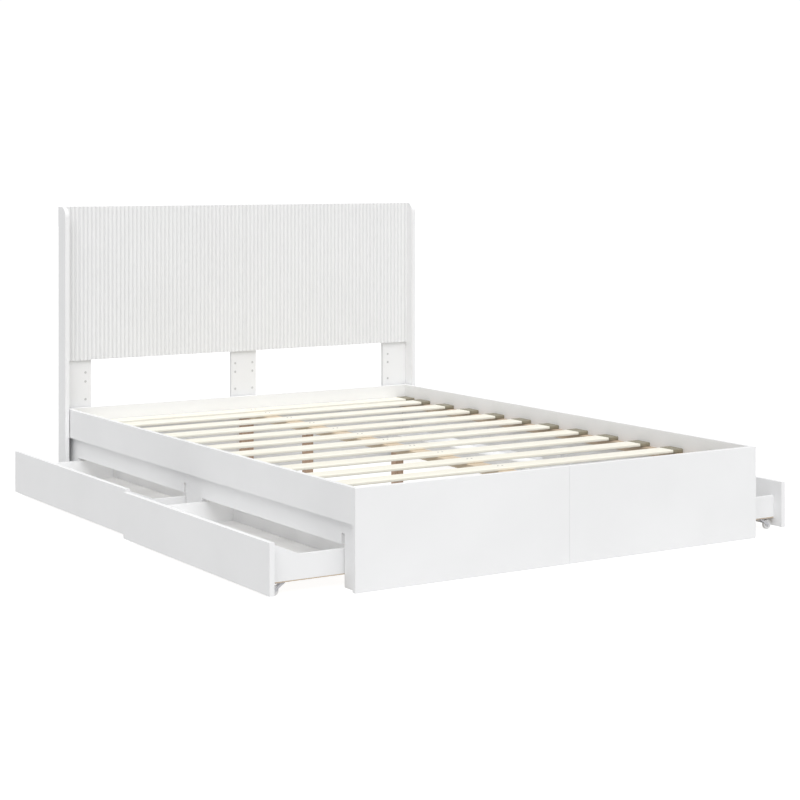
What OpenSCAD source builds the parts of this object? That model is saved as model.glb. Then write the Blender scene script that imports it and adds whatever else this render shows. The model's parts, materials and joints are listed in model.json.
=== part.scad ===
// Storage bed frame for a 140 x 200 cm mattress, white board with wooden slats.
// Four low drawers roll out on castors, two on each long side.
// Origin: on the floor, in the middle of the bed's length and width.
// +X to the right seen from the foot end, +Y towards the headboard, +Z up. Millimetres.

/* [Frame] */
// Inside width, which the mattress fills
mattress_w = 1400; // [1200:10:1600]
// Inside length, which the mattress fills
mattress_l = 2000; // [1980:5:2010]
// Thickness of the white boards
board_t = 15; // [13:1:18]
// Height of the top edge of the footboard and side rails
frame_top = 282; // [270:1:300]
// Height of a side rail's board
rail_h = 100; // [95:1:104]

/* [Headboard] */
// Height of the headboard
head_h = 1000; // [800:10:1100]
// Bottom edge of the fluted panels
panel_bottom = 450; // [440:5:600]
// Grooves in each of the two fluted panels
grooves = 45; // [30:1:50]
// Width of one groove at the surface
groove_w = 9; // [6:0.5:10]
// Depth of one groove
groove_depth = 3.5; // [2:0.5:4]
// Radius of the wings' front top corners
wing_corner_r = 35; // [10:1:50]

/* [Slats] */
// Number of slats
slat_count = 12; // [8:1:12]
// Width of a slat
slat_w = 66; // [50:1:80]
// Thickness of a slat
slat_t = 10; // [8:1:12]
// Spacing of the slats, except the last one
slat_pitch = 167; // [140:1:167]
// Height of the top of the slats
slat_top = 235; // [230:1:240]

/* [Drawers] */
// Length of a drawer's front
front_l = 946; // [930:1:950]
// Height of a drawer's front
front_h = 142; // [130:1:150]
// How far the left drawer at the foot end is pulled out
pull_left_foot = 232; // [120:1:240]
// How far the left drawer at the head end is pulled out
pull_left_head = 205; // [120:1:240]
// How far the right drawer at the foot end is pulled out
pull_right_foot = 168; // [120:1:240]
// How far the right drawer at the head end is pulled out
pull_right_head = 232; // [120:1:240]
// Radius of a castor's wheel
wheel_r = 15; // [13:0.5:16]

/* [Hidden] */
$fn = 48;
edge_r = 0.8;
seam = 0.6;

// Frame, along the width and the length
half_w = mattress_w / 2;
outer_w = half_w + board_t;
panel_t = 10;
total_l = mattress_l + 3 * board_t + panel_t;
foot_y = -total_l / 2;
inside_y = foot_y + board_t;
head_y = inside_y + mattress_l;
panel_y = head_y + board_t;
post_y = panel_y + panel_t;
rail_joint_y = inside_y + 985;
rail_bottom = frame_top - rail_h;

// Supports behind the rails
ledger_w = 30;
ledger_h = 25;
cap_wall = 1.5;
ledger_z = slat_top - slat_t - cap_wall - ledger_h;
leg_t = board_t;
foot_leg_w = 68;
middle_leg_w = 110;
head_leg_w = 62;
middle_leg_y = foot_y + 963;
apron_l = 880;
apron_bottom = 115;
notch_l = 16.5;
notch_top = 146;

// Centre beam, a little to the right of the middle
beam_x = 8;
beam_w = 60;
beam_top = slat_top - slat_t;
beam_h = 20;
beam_leg_w = 30;
beam_leg_y = [for (d = [349, 954, 1560]) foot_y + d];
end_block = [52, 18, beam_top - beam_h];
end_block_x = -32;

// Slats
first_slat_y = foot_y + 194;
last_slat_y = head_y - 37;
slat_half_l = half_w - 10;
slat_edge_r = 3.5;
cap_l = 38.5;
cap_w = slat_w + 4;
cap_gap = 0.2;
screw_spacing = 16;

// Headboard
post_w = 104;
head_half_w = outer_w + 3;
wing_d = 65;
groove_r = (pow(groove_w / 2, 2) + pow(groove_depth, 2)) / (2 * groove_depth);
screw_z = [309, 373, 405];
screw_x = [-half_w + 64, -36, 36, half_w - 64];

// Drawers, each in its own frame: outer face of the front at x = 0, box towards +x
front_z = 10;
box_inset = 36;
box_w = front_l - 2 * box_inset;
box_depth = 345;
side_t = 12;
bottom_t = 3;
bottom_z = 35;
side_z = bottom_z + bottom_t;
side_top = 105;
shoulder_top = front_z + front_h - 7;
shoulder_l = 100;
first_drawer_y = foot_y + 50;
second_drawer_y = foot_y + 1040;

// Castors
wheel_w = 10;
axle_r = 3;
axle_clearance = 0.05;
ear_t = 1.5;
ear_gap = 0.8;
plate_t = 2;
castor_in = 11;
castor_x = [board_t + 20, board_t + box_depth - 30];

DRAWERS = ["left_foot", "left_head", "right_foot", "right_head"];
PIECES = ["front", "side_plain", "side_raised", "back", "bottom",
          "castor_brackets", "front_wheels", "rear_wheels"];

// Rectangle with slightly eased corners, its low corner at the origin
module eased_rect(size, r) {
    translate([r, 0]) square([size.x - 2 * r, size.y]);
    translate([0, r]) square([size.x, size.y - 2 * r]);
    for (x = [r, size.x - r], y = [r, size.y - r])
        translate([x, y]) circle(r);
}

// Board with its long edges eased, running along X, Y or Z from its low corner
module board_x(at, size, r = edge_r) {
    translate(at) rotate([90, 0, 90])
        linear_extrude(size.x) eased_rect([size.y, size.z], r);
}

module board_y(at, size, r = edge_r) {
    translate(at + [0, size.y, 0]) rotate([90, 0, 0])
        linear_extrude(size.y) eased_rect([size.x, size.z], r);
}

module board_z(at, size, r = edge_r) {
    translate(at) linear_extrude(size.z) eased_rect([size.x, size.y], r);
}

// Draws a left-hand piece, or its mirror image on the right
module on_side(side) {
    mirror([side == "right" ? 1 : 0, 0, 0]) children();
}

// One half of the footboard, which meets the other half in the middle
module footboard(side) {
    color("whitesmoke") on_side(side)
        board_x([-outer_w, foot_y, 0], [outer_w - seam / 2, board_t, frame_top]);
}

// Side rails, in two lengths joined behind the middle leg
module side_rail_foot(side) {
    color("whitesmoke") on_side(side)
        board_y([-outer_w, inside_y, rail_bottom],
                [board_t, rail_joint_y - seam / 2 - inside_y, rail_h]);
}

module side_rail_head(side) {
    color("whitesmoke") on_side(side)
        board_y([-outer_w, rail_joint_y + seam / 2, rail_bottom],
                [board_t, panel_y - rail_joint_y - seam / 2, rail_h]);
}

// Board across the head end, between the rails
module head_end_board() {
    color("whitesmoke")
        board_x([-half_w, head_y, 0], [mattress_w, board_t, frame_top]);
}

// Strips between the legs, notched at one end where a drawer's raised side passes
module apron(side) {
    notch_start = side == "left" ? 0 : apron_l - notch_l;
    color("whitesmoke") on_side(side)
        for (y = [inside_y + foot_leg_w, middle_leg_y + middle_leg_w])
            translate([-half_w, y, apron_bottom]) difference() {
                board_y([0, 0, 0], [leg_t, apron_l, ledger_z - apron_bottom]);
                translate([-1, notch_start, -1])
                    cube([leg_t + 2, notch_l, notch_top - apron_bottom + 1]);
            }
}

// Three board legs under each ledger
module legs(side) {
    color("whitesmoke") on_side(side) {
        board_z([-half_w, inside_y, 0], [leg_t, foot_leg_w, ledger_z]);
        board_z([-half_w, middle_leg_y, 0], [leg_t, middle_leg_w, ledger_z]);
        board_z([-half_w, head_y - head_leg_w, 0], [leg_t, head_leg_w, ledger_z]);
    }
}

// Batten behind the rail that carries the slats
module ledger(side) {
    color("peru") on_side(side)
        board_y([-half_w, inside_y, ledger_z], [ledger_w, mattress_l, ledger_h], 1.5);
}

module centre_beam() {
    color("navajowhite")
        board_y([beam_x - beam_w / 2, inside_y, beam_top - beam_h], [beam_w, mattress_l, beam_h], 1.5);
}

module centre_beam_legs() {
    color("peru")
        for (y = beam_leg_y)
            board_z([beam_x - beam_leg_w / 2, y - beam_leg_w / 2, 0],
                    [beam_leg_w, beam_leg_w, beam_top - beam_h], 1.5);
}

// Upright blocks that carry the beam's ends, on the footboard and the head end board
module beam_end_blocks() {
    color("peru")
        for (y = [inside_y, head_y - end_block.y])
            board_z([end_block_x, y, 0], end_block, 1.5);
}

function slat_y(i) = i < slat_count - 1 ? first_slat_y + i * slat_pitch : last_slat_y;

module slats() {
    color("wheat")
        for (i = [0 : slat_count - 1])
            board_x([-slat_half_l, slat_y(i) - slat_w / 2, beam_top],
                    [2 * slat_half_l, slat_w, slat_t], slat_edge_r);
}

// Plastic holder that grips a slat's end and stands on the ledger
module slat_cap() {
    pocket = [cap_l, slat_w + 2 * cap_gap, slat_t + 2 * cap_gap];
    color("dimgray")
        difference() {
            board_x([-half_w + 0.5, -cap_w / 2, ledger_z + ledger_h],
                    [cap_l, cap_w, slat_t + 2 * cap_wall], 4);
            translate([-slat_half_l - cap_gap, -pocket.y / 2, beam_top - cap_gap]) cube(pocket);
        }
}

module slat_caps() {
    for (side = ["left", "right"], i = [0 : slat_count - 1])
        on_side(side) translate([0, slat_y(i), 0]) slat_cap();
}

// Pairs of screw heads that hold each slat to the beam
module slat_screws() {
    color("silver")
        for (i = [0 : slat_count - 1], s = [-1, 1])
            translate([beam_x + s * screw_spacing / 2, slat_y(i), slat_top])
                cylinder(h = 0.9, r1 = 3, r2 = 2.2);
}

// Narrow upright at each end of the headboard, rounded at the front top corner
module wing(side) {
    color("whitesmoke") on_side(side)
        translate([-head_half_w - board_t, total_l / 2 - wing_d, 0]) rotate([90, 0, 90])
            linear_extrude(board_t) intersection() {
                square([wing_d, head_h]);
                union() {
                    square([wing_d, head_h - wing_corner_r]);
                    translate([wing_corner_r, 0]) square([wing_d, head_h]);
                    translate([wing_corner_r, head_h - wing_corner_r]) circle(wing_corner_r);
                }
            }
}

// Upright behind the fluted panels, from the floor to the top
module post(x) {
    color("whitesmoke")
        board_z([x, post_y, 0], [post_w, board_t, head_h]);
}

// Half of the headboard's face, with round-bottomed vertical grooves
module fluted_panel(side) {
    panel_w = head_half_w - seam / 2;
    groove_pitch = head_half_w / grooves;
    color("whitesmoke") on_side(side)
        translate([-head_half_w, panel_y, panel_bottom])
            linear_extrude(head_h - panel_bottom)
                difference() {
                    square([panel_w, panel_t]);
                    for (i = [0 : grooves - 1])
                        translate([(i + 0.5) * groove_pitch, groove_depth - groove_r])
                            circle(groove_r);
                }
}

// Packing pieces between the head end board and the posts
module headboard_packers() {
    size = [60, panel_t, 210];
    color("whitesmoke")
        for (x = [-half_w + 15, -size.x / 2, half_w - 15 - size.x])
            translate([x, panel_y, 60]) cube(size);
}

// Capped screws on the front of the posts, below the panels
module headboard_screws() {
    color("gainsboro")
        for (x = screw_x, z = screw_z)
            translate([x, post_y, z]) rotate([90, 0, 0])
                cylinder(h = 1.2, r1 = 4.5, r2 = 3.8);
}

// Places a drawer's piece: the right-hand drawers are the left-hand ones turned half round
module in_drawer(drawer) {
    head_end = drawer == "left_head" || drawer == "right_head";
    low_y = head_end ? second_drawer_y : first_drawer_y;
    pull = drawer == "left_foot" ? pull_left_foot
         : drawer == "left_head" ? pull_left_head
         : drawer == "right_foot" ? pull_right_foot : pull_right_head;
    if (drawer == "left_foot" || drawer == "left_head")
        translate([-outer_w - pull, low_y, 0]) children();
    else
        translate([outer_w + pull, low_y + front_l, 0]) rotate([0, 0, 180]) children();
}

module drawer_front() {
    color("whitesmoke")
        board_y([0, 0, front_z], [board_t, front_l, front_h]);
}

module drawer_side_plain() {
    color("whitesmoke")
        board_x([board_t, front_l - box_inset - side_t, side_z],
                [box_depth, side_t, side_top - side_z], 0.5);
}

// Side whose top edge slopes up to meet the front
module drawer_side_raised() {
    outline = [[0, side_z], [box_depth, side_z], [box_depth, side_top],
               [shoulder_l, side_top], [0, shoulder_top]];
    color("whitesmoke")
        translate([board_t, box_inset + side_t, 0]) rotate([90, 0, 0])
            linear_extrude(side_t) polygon(outline);
}

module drawer_back() {
    color("whitesmoke")
        board_y([board_t + box_depth - side_t, box_inset + side_t, side_z],
                [side_t, box_w - 2 * side_t, side_top - side_z], 0.5);
}

// Thin hardboard under the sides and the back
module drawer_bottom() {
    color("burlywood")
        translate([board_t, box_inset, bottom_z]) cube([box_depth, box_w, bottom_t]);
}

// Places a castor at each end of one row of castors, turned to lean away from the row's edge
module at_castors(row) {
    for (y = [box_inset + castor_in, front_l - box_inset - castor_in])
        translate([castor_x[row], y, 0]) mirror([row, 0, 0]) children();
}

// Fixed fork of a castor: plate, two slanting ears and the axle with its rivet heads
module castor_bracket() {
    ear_y = wheel_w / 2 + ear_gap;
    reach = 33;
    strip = [[24, bottom_z - plate_t], [reach, bottom_z - plate_t], [2.5, wheel_r - 3.2],
             [-2.5, wheel_r + 3.2]];
    translate([4, -ear_y - ear_t, bottom_z - plate_t])
        cube([reach - 4, 2 * (ear_y + ear_t), plate_t]);
    for (y = [-ear_y, ear_y + ear_t])
        translate([0, y, 0]) rotate([90, 0, 0])
            linear_extrude(ear_t) {
                polygon(strip);
                translate([0, wheel_r]) circle(4.2);
            }
    translate([0, 0, wheel_r]) rotate([90, 0, 0]) {
        cylinder(r = axle_r, h = 2 * (ear_y + ear_t), center = true);
        for (s = [-1, 1])
            translate([0, 0, s * (ear_y + ear_t + 0.4)])
                cylinder(r = 3.4, h = 0.8, center = true);
    }
}

module drawer_castor_brackets() {
    color("dimgray")
        for (row = [0, 1])
            at_castors(row) castor_bracket();
}

// Wheel with an eased tread and a dished face on both sides
module castor_wheel() {
    half = wheel_w / 2;
    bore_r = axle_r + axle_clearance;
    translate([0, 0, wheel_r]) rotate([90, 0, 0])
        rotate_extrude()
            polygon([[bore_r, -half], [5.5, -half], [6.5, 1.6 - half], [wheel_r - 4, 1.6 - half],
                     [wheel_r - 3.2, -half], [wheel_r - 1.2, -half], [wheel_r, 1.2 - half],
                     [wheel_r, half - 1.2], [wheel_r - 1.2, half], [wheel_r - 3.2, half],
                     [wheel_r - 4, half - 1.6], [6.5, half - 1.6], [5.5, half], [bore_r, half]]);
}

module drawer_wheels(row) {
    color("gainsboro") at_castors(row) castor_wheel();
}

footboard("left");  // footboard_left
footboard("right");  // footboard_right
side_rail_foot("left");  // side_rail_left_foot
side_rail_head("left");  // side_rail_left_head
side_rail_foot("right");  // side_rail_right_foot
side_rail_head("right");  // side_rail_right_head
head_end_board();
apron("left");  // apron_left
apron("right");  // apron_right
legs("left");  // legs_left
legs("right");  // legs_right
ledger("left");  // ledger_left
ledger("right");  // ledger_right
centre_beam();
centre_beam_legs();
beam_end_blocks();
slats();
slat_caps();
slat_screws();
wing("left");  // wing_left
wing("right");  // wing_right
post(-head_half_w);  // post_left
post(-post_w / 2);  // post_centre
post(head_half_w - post_w);  // post_right
fluted_panel("left");  // fluted_panel_left
fluted_panel("right");  // fluted_panel_right
headboard_packers();
headboard_screws();
for (d = DRAWERS) {
    in_drawer(d) drawer_front();
    in_drawer(d) drawer_side_plain();
    in_drawer(d) drawer_side_raised();
    in_drawer(d) drawer_back();
    in_drawer(d) drawer_bottom();
    in_drawer(d) drawer_castor_brackets();
    in_drawer(d) drawer_wheels(0);
    in_drawer(d) drawer_wheels(1);
}
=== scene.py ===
"""White storage bed frame with slats and rolling drawers, in a plain studio."""
import json
import math

import bpy
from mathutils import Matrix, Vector

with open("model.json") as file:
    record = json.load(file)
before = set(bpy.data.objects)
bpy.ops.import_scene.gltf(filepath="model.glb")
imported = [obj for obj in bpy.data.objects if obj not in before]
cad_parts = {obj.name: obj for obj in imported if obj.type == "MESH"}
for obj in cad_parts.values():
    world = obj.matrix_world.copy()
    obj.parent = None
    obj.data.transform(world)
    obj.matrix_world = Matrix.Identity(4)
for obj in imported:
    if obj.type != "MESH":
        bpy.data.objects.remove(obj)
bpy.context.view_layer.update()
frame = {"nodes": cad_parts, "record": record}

scene = bpy.context.scene

# The fluted panels' front face and the bottom of their grooves, along Y in metres
GROOVE_START = 1.0025
GROOVE_END = 1.0060
# Strength of the white surroundings, as light and as the camera sees them
WORLD_LIGHT = 0.55
WORLD_SEEN = 1.05
# Glow of the floor, as light and as the camera sees it
FLOOR_GLOW = 0.35
FLOOR_GLOW_SEEN = 0.9
FLOOR_HALF_SIZE = 30
FLOOR_GAP = 0.001
KEY_STRENGTH = 2.3
KEY_ANGLE = 60
LAMINATE_IOR = 1.47

def make_camera():
    """Level camera at the photograph's place, shifted down to take in the whole bed."""
    data = bpy.data.cameras.new("camera")
    data.sensor_width = 36
    data.lens = 86.3
    data.shift_x = -0.0379
    data.shift_y = -0.2897
    data.clip_end = 100
    camera = bpy.data.objects.new("camera", data)
    camera.location = (-3.3208, -5.448, 1.138)
    camera.rotation_euler = (math.radians(90), 0, math.radians(-32.76))
    scene.collection.objects.link(camera)
    scene.camera = camera


make_camera()


# ---------------------------------------------------------------- materials

class Shader:
    """One node material: add() makes a node, and a socket given as a value is linked."""

    def __init__(self, name):
        self.material = bpy.data.materials.new(name)
        self.material.use_nodes = True
        self.tree = self.material.node_tree
        self.surface = self.tree.nodes["Principled BSDF"]

    def put(self, node, inputs):
        for key, value in inputs.items():
            socket = node.inputs[key]
            if isinstance(value, bpy.types.NodeSocket):
                self.tree.links.new(value, socket)
            else:
                socket.default_value = value

    def add(self, kind, inputs=None, **settings):
        node = self.tree.nodes.new("ShaderNode" + kind)
        for key, value in settings.items():
            setattr(node, key, value)
        self.put(node, inputs or {})
        return node

    def place(self):
        """Position in the piece's own frame, in metres."""
        return self.add("TexCoord").outputs["Object"]

    def stretched(self, scale, offset=None):
        """Position scaled along each axis, shifted by offset if one is given."""
        vector = self.place()
        if offset is not None:
            vector = self.add("VectorMath", {0: vector, 1: offset}, operation="ADD").outputs[0]
        return self.add("Mapping", {"Vector": vector, "Scale": scale}).outputs[0]

    def noise(self, vector, scale, detail=2.0, roughness=0.5, distortion=0.0):
        values = {"Vector": vector, "Scale": scale, "Detail": detail,
                  "Roughness": roughness, "Distortion": distortion}
        return self.add("TexNoise", values).outputs["Fac"]

    def span(self, value, low, high, to_low=0.0, to_high=1.0):
        """Maps low..high to to_low..to_high, held within it."""
        values = {"Value": value, "From Min": low, "From Max": high,
                  "To Min": to_low, "To Max": to_high}
        return self.add("MapRange", values).outputs[0]

    def mix(self, factor, first, second, blend="MIX"):
        node = self.add("Mix", data_type="RGBA", blend_type=blend)
        self.put(node, {0: factor, 6: first, 7: second})
        return node.outputs[2]

    def maths(self, operation, first, second):
        return self.add("Math", {0: first, 1: second}, operation=operation).outputs[0]

    def bump(self, height, distance, strength=1.0, below=None):
        values = {"Height": height, "Distance": distance, "Strength": strength}
        if below is not None:
            values["Normal"] = below
        return self.add("Bump", values).outputs[0]

    def finish(self, **values):
        self.put(self.surface, {key.replace("_", " "): value for key, value in values.items()})
        return self.material


def rgb(red, green, blue):
    return (red, green, blue, 1)


def laminate(name, tint, roughness, grooves=None):
    """Melamine-faced board: a fine pearl texture, faint clouding and a little dust.

    grooves gives the Y where grooves start and where they end, in metres. Between the two
    the tint darkens as painted shade in the grooves, and stays darker behind them as painted shade on
    the panel's back.
    """
    s = Shader(name)
    place = s.place()
    clouds = s.noise(place, 3.5, 3)
    pearl = s.noise(place, 1600, 1)
    specks = s.span(s.noise(place, 420, 3, 0.65), 0.62, 0.74)
    darker = rgb(*[c * 0.972 for c in tint])
    colour = s.mix(s.span(clouds, 0.35, 0.65), rgb(*tint), darker)
    colour = s.mix(s.maths("MULTIPLY", specks, 0.35), colour, rgb(*[c * 0.93 for c in tint]))
    gloss = s.span(s.noise(place, 45, 4, 0.6), 0.3, 0.7, roughness - 0.05, roughness + 0.07)
    if grooves:
        # Painted shade: the tint darkens with depth into the grooves, and stays darker on the panel's
        # back behind them
        painted_groove_shade = s.span(s.add("SeparateXYZ", {0: place}).outputs[1], *grooves)
        colour = s.mix(painted_groove_shade, colour, rgb(*[c * 0.86 for c in tint]))
        normal = s.bump(pearl, 0.00006, 0.6)
    else:
        normal = s.bump(s.noise(place, 9, 2), 0.0006, 0.25)
        normal = s.bump(pearl, 0.00006, 0.6, normal)
    return s.finish(Base_Color=colour, Roughness=gloss, Normal=normal, IOR=LAMINATE_IOR)


def timber(name, pale, dark, grain, rings=1.0, knots=0.0, roughness=0.6):
    """Sawn or planed wood, its grain along X, Y or Z; each board has its own figure."""
    s = Shader(name)
    along = "XYZ".index(grain)
    island = s.add("NewGeometry").outputs["Random Per Island"]
    shift = s.add("CombineXYZ", {i: s.maths("MULTIPLY", island, 9.0 + 4 * i) for i in range(3)})
    figure_scale = [26.0] * 3
    figure_scale[along] = 0.9
    fibre_scale = [620.0] * 3
    fibre_scale[along] = 9.0
    figure_at = s.stretched(figure_scale, shift.outputs[0])
    fibre_at = s.stretched(fibre_scale, shift.outputs[0])
    figure = s.noise(figure_at, 1.0, 3, 0.5, 0.35)
    waves = s.add("Math", {0: s.maths("MULTIPLY", figure, 42.0 * rings)}, operation="SINE")
    bands = s.span(waves.outputs[0], -1, 1)
    fibre = s.noise(fibre_at, 1.0, 4, 0.6)
    streaks = s.maths("MULTIPLY", s.span(fibre, 0.35, 0.7), 0.5)
    depth = s.maths("ADD", s.maths("MULTIPLY", bands, 0.5), streaks)
    colour = s.mix(depth, rgb(*pale), rgb(*dark))
    board_tone = s.span(island, 0, 1, 0.0, 0.45)
    colour = s.mix(board_tone, colour, rgb(*[0.5 * (a + b) for a, b in zip(pale, dark)]))
    if knots:
        knot_scale = [16.0] * 3
        knot_scale[along] = 3.2
        cells = {"Vector": s.stretched(knot_scale, shift.outputs[0]), "Scale": 1.0, "Randomness": 1.0}
        distance = s.add("TexVoronoi", cells).outputs["Distance"]
        knot = s.span(distance, 0.03, 0.13, knots, 0.0)
        colour = s.mix(knot, colour, rgb(*[c * 0.42 for c in dark]))
    gloss = s.span(fibre, 0.3, 0.7, roughness - 0.06, roughness + 0.1)
    normal = s.bump(fibre, 0.00025, 0.5)
    return s.finish(Base_Color=colour, Roughness=gloss, Normal=normal)


def hardboard():
    """Thin hardboard: painted white above, raw pressed fibre below and at the edges."""
    s = Shader("hardboard")
    place = s.place()
    up = s.add("SeparateXYZ", {0: s.add("TexCoord").outputs["Normal"]}).outputs[2]
    painted = s.span(up, 0.4, 0.6)
    fibres = s.noise(place, 380, 5, 0.7, 0.4)
    raw = s.mix(s.span(fibres, 0.3, 0.7), rgb(0.62, 0.52, 0.40), rgb(0.47, 0.37, 0.26))
    paint = s.mix(s.span(s.noise(place, 5, 3), 0.3, 0.7), rgb(0.90, 0.90, 0.90), rgb(0.88, 0.88, 0.88))
    colour = s.mix(painted, raw, paint)
    gloss = s.span(painted, 0, 1, 0.75, 0.5)
    normal = s.bump(fibres, 0.0001, 0.4)
    return s.finish(Base_Color=colour, Roughness=gloss, Normal=normal)


def plastic(name, tint, roughness, grain_size=0.0012, grain_depth=0.00006):
    """Moulded plastic with a fine spark-eroded grain and slight flow marks."""
    s = Shader(name)
    place = s.place()
    grain = s.noise(place, 1 / grain_size, 3, 0.6)
    flow = s.noise(place, 40, 3, 0.5, 1.0)
    colour = s.mix(s.span(flow, 0.3, 0.7), rgb(*tint), rgb(*[c * 0.88 for c in tint]))
    gloss = s.span(grain, 0.3, 0.7, roughness - 0.06, roughness + 0.08)
    normal = s.bump(grain, grain_depth, 0.7)
    return s.finish(Base_Color=colour, Roughness=gloss, Normal=normal)


def steel(name, tint, roughness, metallic):
    """Plated or painted pressed steel with fine scratches and a mottled sheen."""
    s = Shader(name)
    place = s.place()
    mottle = s.noise(place, 180, 4, 0.6)
    scratches = s.noise(s.stretched((2500, 160, 160)), 1.0, 2)
    colour = s.mix(s.span(mottle, 0.35, 0.65), rgb(*tint), rgb(*[c * 0.8 for c in tint]))
    gloss = s.span(scratches, 0.3, 0.7, roughness - 0.08, roughness + 0.12)
    normal = s.bump(scratches, 0.00004, 0.5)
    return s.finish(Base_Color=colour, Roughness=gloss, Normal=normal, Metallic=metallic)


MATERIALS = {
    "white_laminate": laminate("white_laminate", (0.882, 0.885, 0.89), 0.46),
    "fluted_laminate": laminate("fluted_laminate", (0.885, 0.888, 0.893), 0.42,
                                (GROOVE_START, GROOVE_END)),
    "slat_wood": timber("slat_wood", (0.90, 0.89, 0.81), (0.84, 0.80, 0.69), "X", 0.8, 0.0, 0.62),
    "beam_timber": timber("beam_timber", (0.72, 0.61, 0.47), (0.57, 0.46, 0.34), "Y", 1.0, 0.5),
    "brown_timber": timber("brown_timber", (0.56, 0.45, 0.34), (0.41, 0.31, 0.22), "Y", 0.8, 0.4, 0.66),
    "brown_upright": timber("brown_upright", (0.62, 0.44, 0.33), (0.45, 0.30, 0.21), "Z",
                            0.8, 0.4, 0.66),
    "hardboard": hardboard(),
    "cap_plastic": plastic("cap_plastic", (0.27, 0.245, 0.18), 0.5),
    "cover_cap_plastic": plastic("cover_cap_plastic", (0.62, 0.62, 0.62), 0.45),
    "castor_plastic": plastic("castor_plastic", (0.80, 0.80, 0.80), 0.4),
    "castor_metal": steel("castor_metal", (0.66, 0.66, 0.69), 0.4, 0.3),
    "screw_steel": steel("screw_steel", (0.42, 0.42, 0.41), 0.38, 1.0),
}
# Nodes whose grain runs another way than their slot's own material
GRAIN = {"centre_beam_legs": "brown_upright", "beam_end_blocks": "brown_upright"}


def dress_cad_nodes():
    """Gives every CAD node its procedural material."""
    slots = {part["node"]: part["material_slot"] for part in frame["record"]["subparts"]}
    for name, piece in frame["nodes"].items():
        material = MATERIALS[GRAIN.get(name, slots[name])]
        for material_slot in piece.material_slots:
            material_slot.material = material


dress_cad_nodes()


# ---------------------------------------------------------------- studio

def make_floor():
    """Pale floor, far larger than the bed, with a glow that keeps its shadows faint."""
    size = FLOOR_HALF_SIZE
    mesh = bpy.data.meshes.new("floor")
    corners = [(-size, -size, 0), (size, -size, 0), (size, size, 0), (-size, size, 0)]
    mesh.from_pydata(corners, [], [(0, 1, 2, 3)])
    floor = bpy.data.objects.new("floor", mesh)
    floor.location.z = -FLOOR_GAP
    scene.collection.objects.link(floor)
    s = Shader("floor")
    fine = s.noise(s.place(), 60, 3)
    colour = s.mix(s.span(fine, 0.3, 0.7), rgb(0.30, 0.30, 0.30), rgb(0.29, 0.29, 0.29))
    glow = s.span(s.add("LightPath").outputs["Is Camera Ray"], 0, 1, FLOOR_GLOW, FLOOR_GLOW_SEEN)
    mesh.materials.append(s.finish(Base_Color=colour, Roughness=0.8, Emission_Color=rgb(1, 1, 1),
                                   Emission_Strength=glow))


def soft_sun(name, toward, strength, angle):
    """Distant broad light that shines from the direction toward."""
    data = bpy.data.lights.new(name, "SUN")
    data.energy = strength
    data.angle = math.radians(angle)
    sun = bpy.data.objects.new(name, data)
    sun.rotation_euler = Vector(toward).to_track_quat("Z", "Y").to_euler()
    scene.collection.objects.link(sun)


def make_light():
    """White surroundings, and a broad soft light from overhead and a little in front."""
    world = bpy.data.worlds.new("studio")
    world.use_nodes = True
    nodes = world.node_tree.nodes
    background = nodes["Background"]
    background.inputs["Color"].default_value = (1, 1, 1, 1)
    rays = nodes.new("ShaderNodeLightPath")
    strength = nodes.new("ShaderNodeMapRange")
    strength.inputs["To Min"].default_value = WORLD_LIGHT
    strength.inputs["To Max"].default_value = WORLD_SEEN
    world.node_tree.links.new(rays.outputs["Is Camera Ray"], strength.inputs["Value"])
    world.node_tree.links.new(strength.outputs[0], background.inputs["Strength"])
    scene.world = world
    soft_sun("key", (-0.17, -0.35, 0.62), KEY_STRENGTH, KEY_ANGLE)


make_floor()
make_light()
scene.view_settings.view_transform = "Standard"
